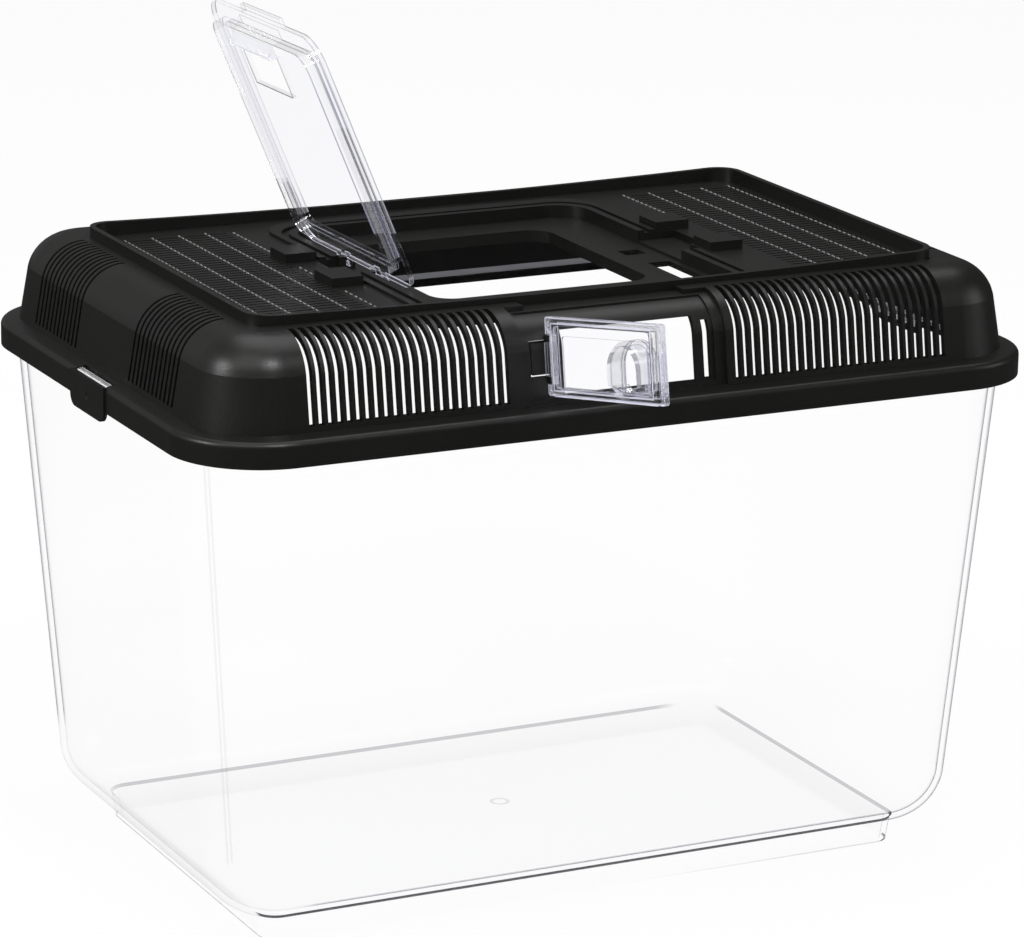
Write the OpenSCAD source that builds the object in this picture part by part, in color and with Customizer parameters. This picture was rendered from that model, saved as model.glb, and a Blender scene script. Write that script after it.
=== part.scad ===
// Plastic pet keeper: clear tub, black slatted lid, clear hatch door, clear feeding door.
// Origin at the centre of the foot, +Z up, length along X, feeding door on the -Y side.
// Levels of the lid and its doors are measured upward from the lid's seat on the tub's edge.
// Both doors are drawn at their open rest angle.

/* [Tub] */
// half spacing of the tub's corner centres along X
tub_cx = 110; // [90:1:120]
// half spacing of the tub's corner centres along Y
tub_cy = 61; // [58:1:70]
// height of the tub's top edge
tub_h = 172.5; // [120:0.5:220]
// level at which the corner radius is measured
r_level = 30; // [28:1:40]
// outer corner radius at that level
tub_r30 = 25; // [24:0.1:27]
// outward lean of the walls in degrees
tub_lean = 5.05; // [3:0.05:6]
// wall and floor thickness
tub_wall = 2.1; // [1.6:0.1:2.6]
// radius of the curve from wall to floor
tub_curve_r = 20; // [18:0.5:21]
// height of the bead inside the tub's edge
bead_h = 2.5; // [1.5:0.1:4]
// how far the bead stands in from the wall
bead_t = 1.2; // [0.6:0.1:1.6]
// height of the ring foot under the floor
foot_h = 8.8; // [6:0.1:10]
// corner radius of the foot where it meets the floor
foot_r_top = 7.4; // [7:0.1:8]
// corner radius of the foot at the base
foot_r_base = 6.0; // [5.5:0.1:6.5]
// thickness of the foot
foot_t = 2; // [1.6:0.1:2.4]

/* [End clips] */
// middle of each clip along Y
clip_y = -3.5; // [-6:0.5:4]
// width of each clip tongue
clip_w = 29; // [24:1:32]
// level of the clip tongue's lower edge
clip_bottom = -10.2; // [-14:0.1:-8]
// how far the tongue stands out from the skirt
clip_proud = 0.6; // [0.3:0.1:1]
// thickness of the tongue
clip_wall = 1.4; // [1:0.1:1.6]
// radius of the tongue's lower corners
clip_r = 4; // [2:0.5:6]
// radius of the dimple in the tongue
dimple_r = 3; // [2:0.5:4]
// top level of the ribbed lug on the tub
lug_top = 1.7; // [0.8:0.1:1.9]
// height of the lug
lug_h = 6.9; // [5:0.1:9]
// rounding radius of the lug's top
lug_r = 1.5; // [1:0.1:1.6]
// gap round the lug
lug_gap = 0.4; // [0.3:0.05:0.6]

/* [Lid shell] */
// gap between the tub's edge and the inside of the skirt
skirt_gap = 0.6; // [0.3:0.05:1]
// thickness of the skirt
skirt_wall = 1.8; // [1.4:0.1:2.2]
// corner radius of the skirt
lid_r = 30.1; // [29:0.1:31]
// level of the skirt's lower edge
skirt_bottom = -6.6; // [-9:0.1:-5]
// thickness of the shoulder
shoulder_z = 1.8; // [1.6:0.1:2.4]
// rounding of the shoulder's outer edge
shoulder_round = 2; // [1:0.25:2.5]
// width of the shoulder
shoulder_w = 6.3; // [6:0.1:6.6]
// inward lean of the dome walls in degrees
dome_lean = 9.65; // [8:0.05:10.5]
// radius of the dome's upper curve
dome_r = 14.75; // [14:0.25:15]
// level of the dome's flat top
dome_top = 30.7; // [30.4:0.1:31.2]
// wall thickness of the dome
dome_wall = 2.2; // [1.8:0.1:2.4]
// gap between the tub's edge and the underside of the shoulder
seat_gap = 0.2; // [0.1:0.05:0.4]

/* [Slots in the dome] */
// number of slots in the left group of the front wall
slots_left = 22; // [10:1:22]
// number of slots in the right group of the front wall
slots_right = 25; // [10:1:25]
// number of slots in each group of the back wall
slots_back = 12; // [6:1:14]
// spacing of the slots in the long walls
slot_pitch = 3.15; // [3:0.01:3.16]
// width of the slots in the long walls
slot_w = 1.9; // [1.2:0.1:2]
// middle of the first slot of the left group, inward from the lid's left corner centres
slot_left_in = 7.5; // [6:0.1:12]
// middle of the first slot of the right group
slot_right_x = 35.7; // [35:0.1:38]
// lower end of all the slots
slot_bottom = 4.1; // [3:0.1:8]
// number of slots in each group of the end walls
end_slots = 12; // [6:1:12]
// spacing of the slots in the end walls
end_pitch = 3.24; // [3:0.01:3.26]
// width of the slots in the end walls
end_slot_w = 1.4; // [1:0.1:1.8]
// middle of the first slot of the back group of the end walls
end_back_y = 25; // [22:0.5:27]
// middle of the first slot of the front group of the end walls
end_front_y = -57.2; // [-60:0.1:-55]

/* [Rim and deck] */
// how far the rim stands outside the lid's corner centres along X
rim_dx = 2.6; // [1.5:0.1:4]
// how far the rim stands outside the lid's corner centres along Y
rim_dy = 1.1; // [0.8:0.1:3]
// outer corner radius of the rim
rim_r = 9; // [5:0.5:12]
// thickness of the rim
rim_t = 2; // [1.6:0.1:2.4]
// level of the rim's corners
rim_top = 34.1; // [33:0.1:36]
// how much lower the rim is at mid length
rim_sag = 1.8; // [0.5:0.1:2]
// level of the deck's upper face
deck_z = 29.3; // [29:0.1:29.8]
// thickness of the deck and the recess
deck_t = 1.8; // [1.4:0.1:2]
// number of rows of fine slots in the deck
deck_rows = 37; // [20:1:41]
// spacing of the rows
deck_pitch = 3.22; // [3:0.01:3.3]
// width of the fine slots
deck_slot_w = 0.9; // [0.6:0.1:1.2]
// length of a row of fine slots
deck_row_len = 42; // [30:1:43]
// distance of the rows from the outside of the rim
deck_row_in = 4.1; // [3.5:0.1:6]
// width of the bars that cross the rows
bar_w = 1.4; // [1:0.1:1.8]
// middles of the bars of the left field, from its left end
left_bars = [6.5, 16.2, 25.7, 35.2];
// middles of the bars of the right field, from its left end
right_bars = [8.1, 18.7, 29, 39.8];

/* [Recess for the hatch] */
// level of the ridges round the recess
band_z = 30.3; // [29.8:0.1:30.7]
// level of the recess floor
recess_z = 26; // [25.3:0.1:26.3]
// left edge of the recess
recess_x0 = -57; // [-58:0.5:-56.5]
// right edge of the recess
recess_x1 = 51; // [50:0.5:52]
// back edge of the recess
recess_y1 = 52; // [50:0.5:54]
// back corner radius of the recess
recess_r = 12; // [8:1:14]
// width of the band of ridges round the recess
band_w = 7; // [6:0.5:8]
// width of the band at the back
band_back = 10; // [7:0.5:11]
// distance of the groove in the band from the recess
groove_in = 2.6; // [2:0.1:3]
// width of the groove in the band
groove_w = 2; // [1:0.1:2.4]
// left edge of the hatch opening
open_x0 = -46; // [-47:0.5:-44]
// right edge of the hatch opening
open_x1 = 31.5; // [28:0.5:32]
// front edge of the hatch opening
open_y0 = -43.5; // [-44:0.5:-40]
// back edge of the hatch opening
open_y1 = 37; // [34:0.5:38]
// corner radius of the hatch opening
open_r = 8; // [4:0.5:12]
// depth of the lip under the edge of the hatch opening
opening_lip = 4; // [2:0.5:6]
// thickness of that lip
opening_lip_t = 1.6; // [1.2:0.1:2]
// level of the tops of the four pads
pad_z = 32.3; // [31:0.1:33]
// left, right, front and back edge of each pad
pads_at = [[-76, -65, 9.5, 22], [-76, -65, -27.5, -13.5], [58.5, 71, 6, 18], [61, 73, -28, -16]];
// left edge, front edge, length and width of the small latch gap
latch_small = [39, -10, 7.5, 6.5];
// left edge, front edge, length and width of the large latch gap
latch_large = [40.4, -46, 8, 23.5];
// width of the shallow part of the finger notch
finger_w = 31; // [26:1:34]
// width of the deep part of the finger notch
finger_deep_w = 20.6; // [16:0.2:24]
// reach of the shallow part beyond the recess
finger_x = 9; // [8:0.5:9.5]
// reach of the deep part beyond the recess
finger_deep_x = 14; // [12:0.5:15]
// back edge of the finger notch
finger_y = 5; // [3:0.5:6]
// thickness of the walls round the notches
notch_wall = 1.8; // [1.4:0.1:2]

/* [Hatch door] */
// angle from closed to the open rest pose
hatch_open = 113.4; // [90:0.1:125]
// distance of the hinge axis from the left edge of the recess
hatch_in = 2.8; // [2.6:0.1:3]
// height of the hinge axis above the recess floor
hatch_rise = 2.1; // [2:0.05:2.4]
// how far the hatch covers the right edge of the opening
cover_end = 6.7; // [4:0.1:7]
// how far the hatch covers the front edge of the opening
cover_front = 1.5; // [1:0.1:3]
// how far the hatch covers the back edge of the opening
cover_back = 3.4; // [2:0.1:5]
// thickness of the hatch
hatch_t = 1.8; // [1.4:0.1:2]
// radius of the hatch's free corners
hatch_r = 9; // [6:0.5:12]
// radius of the hatch's hinge corners
hatch_rh = 7; // [5:0.5:8]
// width of the low lip in front of the raised panel
lip_front = 3.7; // [3:0.1:6]
// width of the low lip behind the raised panel
lip_back = 7; // [5:0.1:8]
// width of the low lip at the free end
lip_end = 4.6; // [4:0.1:6]
// width of the low lip at the hinge
lip_hinge = 6.2; // [5:0.1:8]
// height of the raised panel above the lip
hatch_raise = 3.9; // [2.5:0.1:4]
// clearance of the hinge edge from the hinge axis
hinge_edge = 2.2; // [2:0.1:2.6]
// width of the cut-out for a fingertip
cut_w = 29; // [20:1:32]
// length of the cut-out
cut_len = 14; // [8:0.5:15]
// distance of the cut-out from the free end
cut_in = 9.9; // [9:0.1:14]
// middle of the cut-out, the grip and the tongue along Y
grip_y = -2.6; // [-6:0.1:2]
// width of the wedge grip
grip_w = 31; // [20:1:36]
// height of the wedge grip above the hinge axis
grip_h = 6.8; // [5:0.1:7]
// width of the latch tongue
tongue_w = 31; // [20:1:34]
// reach of the latch tongue
tongue_len = 3; // [2:0.1:4]
// middle of the latch tongue along Y
tongue_y = -6; // [-8:0.5:0]
// radius of the hinge pins
pin_r = 1.2; // [1:0.05:1.3]
// radius of the hinge knuckles
knuckle_r = 1.9; // [1.7:0.05:2]
// length of a hinge pin
pin_len = 3.6; // [3:0.1:5]
// front face of each ear that carries a hinge pin
ears_at = [7.4, -15.3];
// width of an ear
ear_w = 3; // [2.4:0.1:3.6]
// radial play of the hinge pins
pin_play = 0.08; // [0.03:0.01:0.1]

/* [Feeding bay] */
// left border of the bay
bay_x0 = -40.2; // [-41:0.1:-39]
// right border of the bay
bay_x1 = 31.7; // [31:0.1:32.5]
// level of the bay's lower border
bay_z0 = 3.6; // [3:0.1:4]
// depth of the bay
bay_d = 1.4; // [1.2:0.1:1.6]
// depth of the inner step of the bay
step_d = 2; // [1.6:0.1:2.2]
// where the bay starts, outward from the lid's corner centres
ledge_out = 6.7; // [5:0.1:8]
// wall left behind the bay
bay_wall = 1.8; // [1.4:0.1:2]
// left edge of the feeding window
win_x0 = -25.2; // [-26:0.1:-22]
// right edge of the feeding window
win_x1 = 21.6; // [18:0.1:22]
// lower edge of the feeding window
win_z0 = 4.5; // [4.3:0.1:6]
// height of the feeding window
win_h = 19.8; // [18:0.1:20]
// left edge of the latch slit
slit_x = 24.5; // [24:0.1:25]
// width of the latch slit
slit_w = 2.4; // [1.5:0.1:2.6]
// height of the latch slit
slit_h = 18.1; // [14:0.1:18.5]
// width of the hinge notch
notch_w = 10; // [9.6:0.1:10.4]
// height of the hinge notch
notch_h = 11.3; // [10:0.1:11.6]
// lower edge of the hinge notch
notch_z = 10.7; // [10.5:0.1:11.5]
// gap left round the stop behind the hinge notch
stop_gap = 0.4; // [0.3:0.1:0.8]

/* [Feeding door] */
// angle from closed to the open rest pose
feed_open = 81.9; // [60:0.1:100]
// distance of the hinge axis from the left border of the bay
feed_in = 10.6; // [10.2:0.1:11]
// depth of the hinge axis under the dome surface
feed_depth = 0.9; // [0.8:0.05:1]
// gap between the feeding door's free edge and the bay's border
feed_gap = 0.5; // [0.3:0.1:1]
// height of the feeding door along the leaning wall
feed_h = 24.8; // [22:0.1:25]
// height of its lower edge above the bay's lower border
feed_foot = 1.5; // [1.3:0.1:2]
// thickness of its plate
feed_t = 1.6; // [1.4:0.1:1.6]
// how far the plate's outer face stands in front of the dome surface
feed_proud = 0.4; // [0.3:0.05:0.5]
// height of the rim on its outer face
frame_t = 1; // [0.6:0.1:1.4]
// width of the rim at the hinge
frame_hinge = 4.4; // [3.5:0.1:5]
// width of the rim at the free edge
frame_free = 5.4; // [4:0.1:6]
// width of the rim above and below
frame_w = 2.6; // [2:0.1:3.5]
// corner radius of the feeding door
feed_r = 3; // [1:0.5:4]
// distance of the feeding pocket from the hinge axis
pocket_s = 29.2; // [27:0.1:31]
// depth of the feeding pocket
pocket_d = 7; // [4:0.5:8]
// width of the feeding pocket
pocket_w = 18; // [14:0.1:19]
// height of the feeding pocket's top above the door's lower edge
pocket_top = 18.6; // [16:0.1:18.6]
// height of the feeding pocket's floor above the door's lower edge
pocket_z = 3.2; // [3:0.1:4]
// wall of the feeding pocket
pocket_t = 1.4; // [1.2:0.1:1.6]
// radius of the bar that the feeding door turns on
bar_r = 1.1; // [0.9:0.05:1.2]
// length of the bar
bar_len = 14; // [13:0.5:14]
// radius of the knuckle round the bar
roll_r = 2.2; // [2:0.05:2.3]

/* [Hidden] */
$fn = 96;
past = 1;

// tub profile, measured outward from the corner centres
tub_slope = tan(tub_lean);
tub_r_top = tub_r30 + tub_slope*(tub_h - r_level);
curve_dz = 0.992*tub_curve_r;
curve_z = foot_h + curve_dz;
curve_c = tub_r30 + tub_slope*(curve_z - r_level) - tub_curve_r/cos(tub_lean) + 0.1;

// lid profile, measured outward from the corner centres, levels from the seat
seat_z = tub_h + seat_gap;
lid_hx = tub_cx + tub_r_top + skirt_gap + skirt_wall;
lid_hy = tub_cy + tub_r_top + skirt_gap + skirt_wall;
lid_cx = lid_hx - lid_r;
lid_cy = lid_hy - lid_r;
dome_slope = tan(dome_lean);
dome_foot = lid_r - shoulder_w;
foot_z = shoulder_z + 0.5;
dome_cz = dome_top - dome_r;
dome_cr = dome_foot - dome_slope*(dome_cz - foot_z) - dome_r/cos(dome_lean) + 0.05;
rim_hx = lid_cx + rim_dx;
rim_hy = lid_cy + rim_dy;

// clip and lug
clip_y0 = clip_y - clip_w/2;
clip_y1 = clip_y + clip_w/2;
clip_in = lid_hx + clip_proud - clip_wall;
lug_out = clip_in - lug_gap;

// hatch, measured from its hinge axis
hatch_x = recess_x0 + hatch_in;
hatch_z = recess_z + hatch_rise;
hatch_len = open_x1 - hatch_x + cover_end;
hatch_y0 = open_y0 - cover_front;
hatch_y1 = open_y1 + cover_back;
hatch_lo = 0.6 - hatch_rise;
hatch_hi = hatch_lo + hatch_t;
panel_top = hatch_hi + hatch_raise;

// feeding door, measured from its hinge axis
feed_x = bay_x0 + feed_in;
feed_z0 = bay_z0 + feed_foot;
feed_len = bay_x1 - feed_x - feed_gap;
feed_front = -(feed_depth + feed_proud);
feed_back = feed_front + feed_t;

// ---------- flat helpers ----------
module rrect(hx, hy, r) {
  square([2*(hx - r), 2*hy], center = true);
  square([2*hx, 2*(hy - r)], center = true);
  for (sx = [-1, 1])
    for (sy = [-1, 1])
      translate([sx*(hx - r), sy*(hy - r)])
        circle(r);
}

// rectangle from corner to corner with one radius
module box2(x0, x1, y0, y1, r) {
  translate([(x0 + x1)/2, (y0 + y1)/2])
    rrect((x1 - x0)/2, (y1 - y0)/2, r);
}

// rectangle whose two back corners are round and whose front runs straight
module arch2(x0, x1, y0, y1, r) {
  translate([x0 + r, y0])
    square([x1 - x0 - 2*r, y1 - y0]);
  translate([x0, y0])
    square([x1 - x0, y1 - y0 - r]);
  for (x = [x0 + r, x1 - r])
    translate([x, y1 - r])
      circle(r);
}

// outline of the recess grown by d at the sides and by db at the back
module recess_2d(d, db, y0) {
  arch2(recess_x0 - d, recess_x1 + d, y0, recess_y1 + db, recess_r + d/3);
}

// carries a flat profile once round a rounded rectangle of corner centres cx, cy
module ring_sweep(cx, cy) {
  for (s = [0, 180]) {
    rotate([0, 0, s])
      translate([cx, 0, 0])
        rotate([90, 0, 0])
          linear_extrude(2*cy, center = true)
            children();
    rotate([0, 0, s + 90])
      translate([cy, 0, 0])
        rotate([90, 0, 0])
          linear_extrude(2*cx, center = true)
            children();
  }
  for (q = [[1, 1, 0], [-1, 1, 90], [-1, -1, 180], [1, -1, 270]])
    translate([q[0]*cx, q[1]*cy, 0])
      rotate([0, 0, q[2]])
        rotate_extrude(angle = 90)
          children();
}

// carries a flat profile along the front wall of the lid from x0 to x1
module front_sweep(x0, x1) {
  translate([(x0 + x1)/2, -lid_cy, 0])
    rotate([0, 0, -90])
      rotate([90, 0, 0])
        linear_extrude(x1 - x0, center = true)
          children();
}

// ---------- tub ----------
// solid half section of the tub, shrunk by d, from the corner centre outward
module tub_section(d, top) {
  rr = tub_curve_r - d;
  low = curve_z - rr*curve_dz/tub_curve_r;
  tz = curve_z - rr*sin(tub_lean);
  r_low = tub_r30 + tub_slope*(low - r_level) - d/cos(tub_lean);
  r_top = r_low + tub_slope*(top - low);
  intersection() {
    polygon([[0, low], [r_low, low], [r_top, top], [0, top]]);
    union() {
      translate([curve_c, curve_z])
        circle(rr);
      translate([0, low])
        square([curve_c, tz - low + past]);
      translate([0, tz])
        square([r_top + past, top - tz]);
    }
  }
}

module tub_wall_profile() {
  difference() {
    tub_section(0, tub_h);
    difference() {
      tub_section(tub_wall, tub_h + past);
      translate([tub_r_top - tub_wall - bead_t, tub_h - bead_h])
        square([tub_wall + bead_t, bead_h + 2*past]);
    }
  }
  polygon([
    [foot_r_base - foot_t, 0],
    [foot_r_base, 0],
    [foot_r_top, foot_h + 0.5],
    [foot_r_top - foot_t, foot_h + 0.5]
  ]);
}

// ribbed bar on the tub's edge that the end clip hooks over
module lug() {
  z1 = seat_z + lug_top;
  y0 = clip_y0 + lug_gap + past;
  len = clip_w - 2*lug_gap - 2*past;
  difference() {
    union() {
      translate([lug_out - 2*lug_r, y0, z1 - lug_h])
        cube([2*lug_r, len, lug_h - lug_r]);
      translate([lug_out - lug_r, y0 + len, z1 - lug_r])
        rotate([90, 0, 0])
          cylinder(r = lug_r, h = len);
    }
    for (dx = [0.75, 1.5, 2.25])
      translate([lug_out - 2*lug_r + dx*lug_r/1.5 - 0.25, y0 - past, z1 - 0.6])
        cube([0.5, len + 2*past, 2]);
  }
}

module tub() {
  color([0.93, 0.93, 0.96, 0.35]) {
    ring_sweep(tub_cx, tub_cy)
      tub_wall_profile();
    translate([-tub_cx - 2, -tub_cy - 2, foot_h])
      cube([2*tub_cx + 4, 2*tub_cy + 4, tub_wall*curve_dz/tub_curve_r]);
    lug();
    mirror([1, 0, 0])
      lug();
  }
}

// ---------- lid ----------
// solid half section of the dome above the shoulder, shrunk by d
module dome_section(d, low) {
  rr = dome_r - d;
  tz = dome_cz + rr*sin(dome_lean);
  top = dome_top - d;
  r_low = dome_foot - dome_slope*(low - foot_z) - d/cos(dome_lean);
  intersection() {
    polygon([[0, low], [r_low, low], [r_low - dome_slope*(top - low), top], [0, top]]);
    union() {
      translate([dome_cr, dome_cz])
        circle(rr);
      translate([0, low])
        square([dome_cr, top - low]);
      translate([0, low])
        square([r_low + past, tz - low]);
    }
  }
}

module skirt_section() {
  difference() {
    union() {
      translate([0, skirt_bottom])
        square([lid_r, shoulder_z - shoulder_round - skirt_bottom]);
      translate([0, skirt_bottom])
        square([lid_r - shoulder_round, shoulder_z - skirt_bottom]);
      translate([lid_r - shoulder_round, shoulder_z - shoulder_round])
        circle(shoulder_round);
      polygon([
        [0, shoulder_z/2],
        [lid_r - shoulder_round, shoulder_z/2],
        [lid_r - shoulder_round, shoulder_z],
        [dome_foot + 0.1, foot_z],
        [0, foot_z]
      ]);
    }
    translate([-past, skirt_bottom - past])
      square([lid_r - skirt_wall + past, past - skirt_bottom]);
  }
}

module lid_profile() {
  difference() {
    union() {
      skirt_section();
      dome_section(0, 0.3);
    }
    dome_section(dome_wall, -past);
  }
}

// one group of n slots through a long wall, the first at x, the front wall at s = 1
module slot_group(x, n, s) {
  for (i = [0 : n - 1])
    translate([x + i*slot_pitch - slot_w/2, s > 0 ? -lid_hy : lid_cy + ledge_out - 0.7, slot_bottom])
      cube([slot_w, lid_hy - lid_cy - ledge_out + 0.7, dome_top]);
}

// all the slot groups, cut away
module slots() {
  x0 = slot_left_in - lid_cx;
  slot_group(x0, slots_left, 1);
  slot_group(slot_right_x, slots_right, 1);
  slot_group(x0, slots_back, -1);
  slot_group(-x0 - (slots_back - 1)*slot_pitch, slots_back, -1);
  for (m = [0, 1])
    mirror([m, 0, 0])
      for (y = [end_back_y, end_front_y])
        for (i = [0 : end_slots - 1])
          translate([-lid_hx, y + i*end_pitch - end_slot_w/2, slot_bottom])
            cube([lid_hx - lid_cx - ledge_out + 0.7, end_slot_w, dome_top]);
}

// what lies outside the dome section shrunk by d, above level z and beyond r
module outside(d, r, z) {
  difference() {
    translate([r, z])
      square([lid_r, dome_top + past]);
    dome_section(d, -past);
  }
}

// shallow bay in the front wall that the feeding door closes into
module bay_cut() {
  front_sweep(bay_x0, bay_x1)
    outside(bay_d, ledge_out, bay_z0 - 0.9);
  front_sweep(bay_x0 + 7.3, bay_x1 - 7.9)
    outside(bay_d, rim_dy, bay_z0 - 0.9);
  front_sweep(bay_x0 + 1.6, bay_x1 - 3.5)
    outside(step_d, ledge_out + 2, bay_z0 + 0.7);
}

// wall between the depths d0 and d1 under the dome's surface from x0 to x1 and z0 to z1
module inner_wall(d0, d1, x0, x1, z0, z1) {
  front_sweep(x0, x1)
    difference() {
      intersection() {
        dome_section(d0, 0);
        translate([ledge_out - 3.7, z0])
          square([lid_r, z1 - z0]);
      }
      dome_section(d1, -past);
    }
}

module window_cuts() {
  for (w = [
    [win_x0, win_x1 - win_x0, win_z0, win_h],
    [slit_x, slit_w, win_z0 + 0.4, slit_h],
    [bay_x0 + 3.6, notch_w, notch_z, notch_h]
  ])
    translate([w[0], -lid_hy, w[2]])
      cube([w[1], lid_hy - lid_cy - ledge_out - 2, w[3]]);
}

// places its children on the leaning hinge axis of the feeding door, z along the axis
module on_feed_axis() {
  y0 = -(lid_cy + dome_foot - dome_slope*(feed_z0 - foot_z)) + feed_depth/cos(dome_lean);
  translate([feed_x, y0, feed_z0])
    rotate([-dome_lean, 0, 0])
      children();
}

module dome_ring() {
  difference() {
    union() {
      ring_sweep(lid_cx, lid_cy)
        lid_profile();
      inner_wall(dome_wall - 0.2, step_d + bay_wall, bay_x0 - 1.8, bay_x1 + 1.8, foot_z, dome_top);
    }
    translate([0, 0, deck_z])
      linear_extrude(rim_top)
        rrect(rim_hx - rim_t, rim_hy - rim_t, rim_r - rim_t);
    slots();
    bay_cut();
    window_cuts();
    for (m = [0, 1])
      mirror([m, 0, 0])
        translate([lug_out - 2*lug_r - lug_gap, clip_y0 + past, clip_bottom])
          cube([clip_in - lug_out + 2*lug_r + lug_gap, clip_w - 2*past, shoulder_z + 5 - clip_bottom]);
  }
  inner_wall(
    step_d + bay_wall - 0.3, step_d + bay_wall + 1.2,
    bay_x0 + 4.9, win_x0 - 0.4,
    notch_z + stop_gap, notch_z + notch_h - 0.5 - stop_gap
  );
}

module clip_tongue() {
  difference() {
    translate([clip_in, 0, 0])
      rotate([90, 0, 90])
        linear_extrude(clip_wall)
          union() {
            translate([clip_y0, clip_bottom + clip_r])
              square([clip_w, shoulder_z - 0.4 - clip_bottom - clip_r]);
            translate([clip_y0 + clip_r, clip_bottom])
              square([clip_w - 2*clip_r, clip_r + past]);
            for (y = [clip_y0 + clip_r, clip_y1 - clip_r])
              translate([y, clip_bottom + clip_r])
                circle(clip_r);
          }
    translate([clip_in + clip_wall + dimple_r - 0.4, clip_y, clip_bottom + 6])
      sphere(dimple_r);
  }
}

module deck_plate_2d() {
  x_left = deck_row_in - rim_hx;
  x_right = rim_hx - deck_row_in - deck_row_len;
  difference() {
    rrect(rim_hx - rim_t/2, rim_hy - rim_t/2, rim_r - rim_t/2);
    recess_2d(0, 0, -rim_hy);
    for (i = [0 : deck_rows - 1])
      for (x = [x_left, x_right])
        translate([x, (i - (deck_rows - 1)/2)*deck_pitch - deck_slot_w/2])
          square([deck_row_len, deck_slot_w]);
  }
  for (b = left_bars)
    translate([x_left + b - bar_w/2, past - rim_hy])
      square([bar_w, 2*rim_hy - 2*past]);
  for (b = right_bars)
    translate([x_right + b - bar_w/2, past - rim_hy])
      square([bar_w, 2*rim_hy - 2*past]);
}

// the two ridges round the recess with the groove between them
module band() {
  z0 = deck_z - deck_t;
  difference() {
    translate([0, 0, z0])
      linear_extrude(band_z - z0)
        difference() {
          recess_2d(band_w, band_back, past - rim_hy);
          recess_2d(0, 0, -rim_hy);
        }
    translate([0, 0, deck_z])
      linear_extrude(band_z)
        difference() {
          recess_2d(groove_in + groove_w, groove_in + groove_w, rim_t + 0.5 - rim_hy);
          recess_2d(groove_in, groove_in, -rim_hy);
        }
  }
}

module pads() {
  for (b = pads_at)
    translate([b[0], b[2], deck_z - 1])
      cube([b[1] - b[0], b[3] - b[2], pad_z - deck_z + 1]);
}

// ear that carries one hinge pin of the hatch
module hatch_ear(y0) {
  difference() {
    union() {
      translate([recess_x0 - 0.5, y0, recess_z - 0.5])
        cube([hatch_in + 0.5, ear_w, hatch_rise + 2.6]);
      translate([hatch_x - 2.2, y0, recess_z - 0.5])
        cube([4.4, ear_w, hatch_rise + 0.5]);
      translate([hatch_x, y0 + ear_w, hatch_z])
        rotate([90, 0, 0])
          cylinder(r = 2.2, h = ear_w);
    }
    translate([hatch_x, y0 + ear_w + past, hatch_z])
      rotate([90, 0, 0])
        cylinder(r = pin_r + pin_play, h = ear_w + 2*past);
  }
}

// notch for a fingertip under the hatch's free edge
module finger_cut() {
  translate([recess_x1 - 2, finger_y - finger_w, recess_z + 0.9])
    cube([2 + finger_x, finger_w, 10]);
  translate([recess_x1 - 2, finger_y - finger_deep_w, recess_z + 0.9])
    cube([2 + finger_deep_x, finger_deep_w, 10]);
}

// notch behind the hatch's hinge, between its two ears
module hinge_cut() {
  translate([recess_x0 - 8.2, ears_at[1] + 1.8, recess_z + 0.9])
    cube([10, ears_at[0] + 2.1 - ears_at[1] - 1.8, 10]);
}

module recess() {
  floor_z = recess_z - deck_t;
  difference() {
    union() {
      translate([0, 0, floor_z])
        linear_extrude(band_z - floor_z)
          difference() {
            recess_2d(deck_t, deck_t, past - rim_hy);
            recess_2d(0, 0, -rim_hy);
          }
      translate([0, 0, floor_z])
        linear_extrude(deck_t)
          recess_2d(1, 1, past - rim_hy);
      band();
      translate([recess_x0 - 8.2 - notch_wall, ears_at[1], floor_z + 0.9])
        cube([8.2 + notch_wall, ears_at[0] + 3.9 - ears_at[1], 4]);
      translate([recess_x1, finger_y - finger_w - notch_wall, floor_z + 0.9])
        cube([finger_deep_x + notch_wall, finger_w + 2*notch_wall, 4]);
      translate([0, 0, recess_z - opening_lip])
        linear_extrude(opening_lip)
          box2(
            open_x0 - opening_lip_t, open_x1 + opening_lip_t,
            open_y0 - opening_lip_t, open_y1 + opening_lip_t, open_r + opening_lip_t
          );
    }
    translate([0, 0, floor_z - 5])
      linear_extrude(20)
        box2(open_x0, open_x1, open_y0, open_y1, open_r);
    for (g = [latch_small, latch_large])
      translate([g[0], g[1], floor_z - past])
        cube([g[2], g[3], deck_t + 2*past]);
    hinge_cut();
    finger_cut();
  }
}

// hinge bar of the feeding door between its two bearing blocks
module feed_bar() {
  translate([0, 0, 4.5])
    cylinder(r = bar_r, h = bar_len);
  for (h = [4, 3.1 + bar_len]) {
    translate([0, 0, h])
      cylinder(r = 1.5, h = 1.8);
    translate([-1.5, 0, h])
      cube([3, 2.2, 1.8]);
  }
}

// what lies above the rim, whose top sags towards the middle of its long sides
module sag_cut() {
  n = 8;
  arc = [for (i = [-n : n]) [i*(rim_hx + 1)/n, rim_top - rim_sag*(1 - i*i/(n*n))]];
  translate([0, rim_hy + 1, 0])
    rotate([90, 0, 0])
      linear_extrude(2*rim_hy + 2)
        polygon(concat(arc, [[rim_hx + 1, rim_top + 5], [-rim_hx - 1, rim_top + 5]]));
}

module lid() {
  color([0.06, 0.06, 0.07])
    translate([0, 0, seat_z]) {
      dome_ring();
      difference() {
        union() {
          translate([0, 0, deck_z - deck_t])
            linear_extrude(deck_t)
              deck_plate_2d();
          translate([0, 0, deck_z - deck_t])
            linear_extrude(rim_top - deck_z + deck_t)
              difference() {
                rrect(rim_hx, rim_hy, rim_r);
                rrect(rim_hx - rim_t, rim_hy - rim_t, rim_r - rim_t);
              }
        }
        hinge_cut();
        finger_cut();
        sag_cut();
      }
      recess();
      pads();
      for (y = ears_at)
        hatch_ear(y);
      clip_tongue();
      mirror([1, 0, 0])
        clip_tongue();
      on_feed_axis()
        feed_bar();
    }
}

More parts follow.
